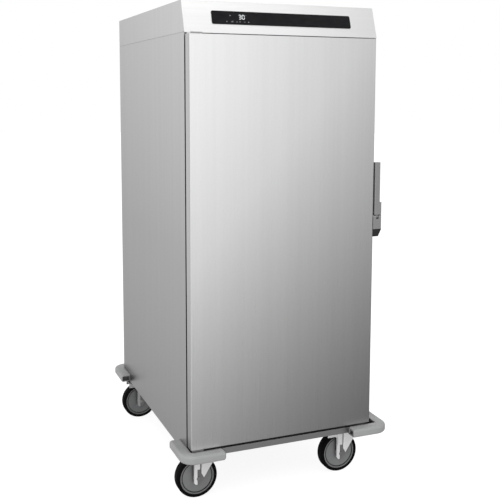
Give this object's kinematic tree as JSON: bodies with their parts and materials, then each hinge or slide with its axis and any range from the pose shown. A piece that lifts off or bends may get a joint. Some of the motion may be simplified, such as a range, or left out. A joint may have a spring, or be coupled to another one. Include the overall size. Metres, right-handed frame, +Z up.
{
  "type": "heated banquet cart",
  "caption": "Tall insulated food cart on swivel castors, with a side-hung door, a magnetic edge latch, tray runners and a fan heater in the top housing.",
  "frame": {"origin": "on the floor under the middle of the bumper outline", "axes": "+X to the right seen from the door side, +Y from the door to the back, +Z up"},
  "size_m": [0.856, 1.134, 1.843],
  "materials": {
    "outer_steel": "satin brushed stainless steel",
    "inner_steel": "plain stainless sheet",
    "frame_steel": "dull stainless steel",
    "bright_steel": "bright steel",
    "insulation": "mineral wool slab",
    "black_glass": "glossy black overlay",
    "board_green": "circuit board",
    "black_plastic": "matt black plastic",
    "motor_black": "black paint",
    "fan_alloy": "plain sheet",
    "bush_plastic": "plain bearing plastic",
    "seal_rubber": "silicone seal",
    "latch_grey": "satin die casting",
    "magnet": "black ferrite",
    "bumper_grey": "grey moulded plastic",
    "zinc": "zinc plated pressed steel",
    "wheel_grey": "grey moulded plastic",
    "tyre_black": "black rubber"
  },
  "bodies": {
    "cabinet": {"air_guide_panel": "inner_steel", "back_panel": "outer_steel", "castor_plates": "bright_steel", "chassis_frame": "frame_steel", "control_board": "board_green", "control_glass": "black_glass", "fan_motor": "motor_black", "fascia": "outer_steel", "floor_pan": "inner_steel", "front_frame": "outer_steel", "front_left_bumper": "bumper_grey", "front_right_bumper": "bumper_grey", "heater_ring": "bright_steel", "hinge_brackets": "bright_steel", "hinge_pins": "bright_steel", "inner_liner": "inner_steel", "kingpins": "bright_steel", "latch_strike": "bright_steel", "left_side_panel": "outer_steel", "mains_gland": "black_plastic", "push_handles": "bright_steel", "rack_posts": "inner_steel", "rear_left_bumper": "bumper_grey", "rear_right_bumper": "bumper_grey", "relay_block": "black_plastic", "right_side_panel": "outer_steel", "temperature_probe": "bright_steel", "terminal_block": "black_plastic", "top_cover": "outer_steel", "top_deck": "inner_steel", "tray_runners": "inner_steel", "wall_insulation": "insulation"},
    "door": {"door_skin": "outer_steel", "door_insulation": "insulation", "door_inner_panel": "inner_steel", "door_gasket": "seal_rubber", "hinge_bushes": "bush_plastic", "latch_body": "latch_grey", "latch_end_cap": "black_plastic", "latch_pivot_pin": "bright_steel", "latch_spring": "bright_steel", "latch_magnets": "magnet"},
    "latch_lever": {"latch_lever": "latch_grey"},
    "fan": {"fan_impeller": "fan_alloy"},
    "front_left_swivel": {"front_left_fork": "zinc", "front_left_axle": "bright_steel"},
    "front_left_wheel": {"front_left_wheel_centre": "wheel_grey", "front_left_tyre": "tyre_black"},
    "front_right_swivel": {"front_right_fork": "zinc", "front_right_axle": "bright_steel"},
    "front_right_wheel": {"front_right_wheel_centre": "wheel_grey", "front_right_tyre": "tyre_black"},
    "rear_left_swivel": {"rear_left_fork": "zinc", "rear_left_axle": "bright_steel"},
    "rear_left_wheel": {"rear_left_wheel_centre": "wheel_grey", "rear_left_tyre": "tyre_black"},
    "rear_right_swivel": {"rear_right_fork": "zinc", "rear_right_axle": "bright_steel"},
    "rear_right_wheel": {"rear_right_wheel_centre": "wheel_grey", "rear_right_tyre": "tyre_black"}
  },
  "joints": [
    {"name": "door_hinge", "type": "hinge", "parent": "cabinet", "child": "door", "pos_m": [-0.37, -0.507, 0.221], "axis": [0, 0, -1], "range_deg": [0, 180]},
    {"name": "latch_pull", "type": "hinge", "parent": "door", "child": "latch_lever", "pos_m": [0.375, -0.518, 1.04], "axis": [1, 0, 0], "range_deg": [0, 40], "stiffness_Nm_per_rad": 1.5},
    {"name": "fan_spin", "type": "hinge", "parent": "cabinet", "child": "fan", "pos_m": [-0.0065, -0.00375, 1.692], "axis": [0, 0, 1], "continuous": true},
    {"name": "front_left_swivel_turn", "type": "hinge", "parent": "cabinet", "child": "front_left_swivel", "pos_m": [-0.3, -0.433, 0.1715], "axis": [0, 0, 1], "continuous": true},
    {"name": "front_left_wheel_spin", "type": "hinge", "parent": "front_left_swivel", "child": "front_left_wheel", "pos_m": [-0.338, -0.433, 0.08], "axis": [0, 1, 0], "continuous": true},
    {"name": "front_right_swivel_turn", "type": "hinge", "parent": "cabinet", "child": "front_right_swivel", "pos_m": [0.3, -0.433, 0.1715], "axis": [0, 0, 1], "continuous": true},
    {"name": "front_right_wheel_spin", "type": "hinge", "parent": "front_right_swivel", "child": "front_right_wheel", "pos_m": [0.262, -0.433, 0.08], "axis": [0, 1, 0], "continuous": true},
    {"name": "rear_left_swivel_turn", "type": "hinge", "parent": "cabinet", "child": "rear_left_swivel", "pos_m": [-0.3, 0.413, 0.1715], "axis": [0, 0, 1], "continuous": true},
    {"name": "rear_left_wheel_spin", "type": "hinge", "parent": "rear_left_swivel", "child": "rear_left_wheel", "pos_m": [-0.338, 0.413, 0.08], "axis": [0, 1, 0], "continuous": true},
    {"name": "rear_right_swivel_turn", "type": "hinge", "parent": "cabinet", "child": "rear_right_swivel", "pos_m": [0.3, 0.413, 0.1715], "axis": [0, 0, 1], "continuous": true},
    {"name": "rear_right_wheel_spin", "type": "hinge", "parent": "rear_right_swivel", "child": "rear_right_wheel", "pos_m": [0.262, 0.413, 0.08], "axis": [0, 1, 0], "continuous": true}
  ]
}
